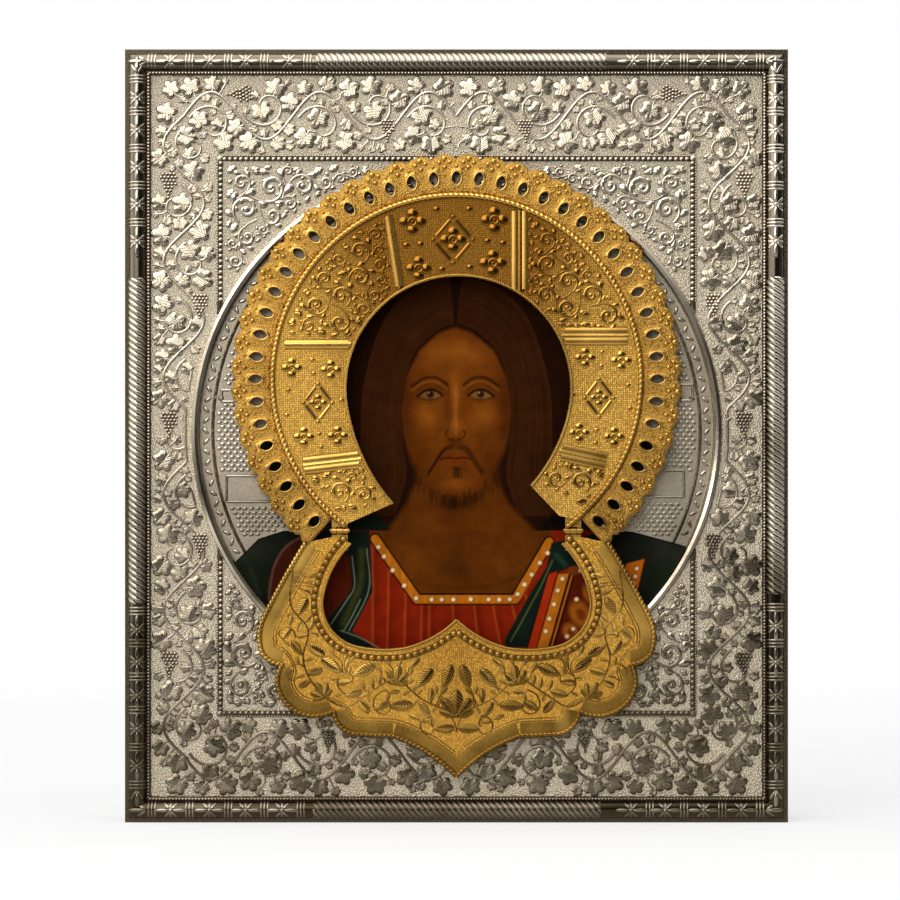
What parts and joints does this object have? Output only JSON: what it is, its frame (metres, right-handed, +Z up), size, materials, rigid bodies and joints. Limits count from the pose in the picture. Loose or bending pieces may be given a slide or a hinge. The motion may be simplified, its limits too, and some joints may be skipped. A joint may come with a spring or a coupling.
{
  "type": "orthodox icon",
  "caption": "Painted wooden icon in a chased silver cover with a half-round rim, a pierced gilt halo and a hinged crescent collar.",
  "frame": {"origin": "middle of the face that the icon stands on, under the middle of the wooden board's thickness", "axes": "+Z up along the icon's height, +X to the viewer's right, +Y away from the viewer, through the board to its back"},
  "size_m": [0.2698, 0.0406, 0.3136],
  "materials": {
    "wood": "aged, unvarnished",
    "linen": "glued",
    "gesso": "matt",
    "paint": "satin varnish",
    "silver": "chased, matt ground",
    "silver_polished": "polished",
    "gilt": "engraved gilding",
    "brass_pin": "satin",
    "iron": "forged, dark"
  },
  "bodies": {
    "icon": {"panel_board": "wood", "batten_upper": "wood", "batten_lower": "wood", "linen_layer": "linen", "gesso_ground": "gesso", "painting": "paint", "rim_top": "silver", "rim_bottom": "silver", "rim_left": "silver", "rim_right": "silver", "rim_pearl_wire": "silver", "border_sheet": "silver", "beaded_frame_wire": "silver", "opening_ring": "silver_polished", "background_sheet": "silver", "background_nails": "silver", "flange_nails": "silver", "halo_plate": "gilt", "halo_rope": "gilt", "halo_lace": "gilt", "halo_posts": "gilt", "halo_hinge_leaves": "gilt", "hinge_pins": "brass_pin", "hanger_staple": "iron"},
    "collar": {"collar_plate": "gilt", "collar_rope_wire": "gilt", "collar_cord_wire": "gilt", "collar_bead_row": "gilt", "collar_hinge_leaves": "gilt"},
    "ring": {"hanging_ring": "iron"}
  },
  "joints": [
    {"name": "collar_hinge", "type": "hinge", "parent": "icon", "child": "collar", "pos_m": [0, -0.02025, 0.118], "axis": [-1, 0, 0], "range_deg": [0, 70]},
    {"name": "ring_swing", "type": "hinge", "parent": "icon", "child": "ring", "pos_m": [0, 0.0142, 0.288], "axis": [1, 0, 0], "range_deg": [0, 170]}
  ]
}
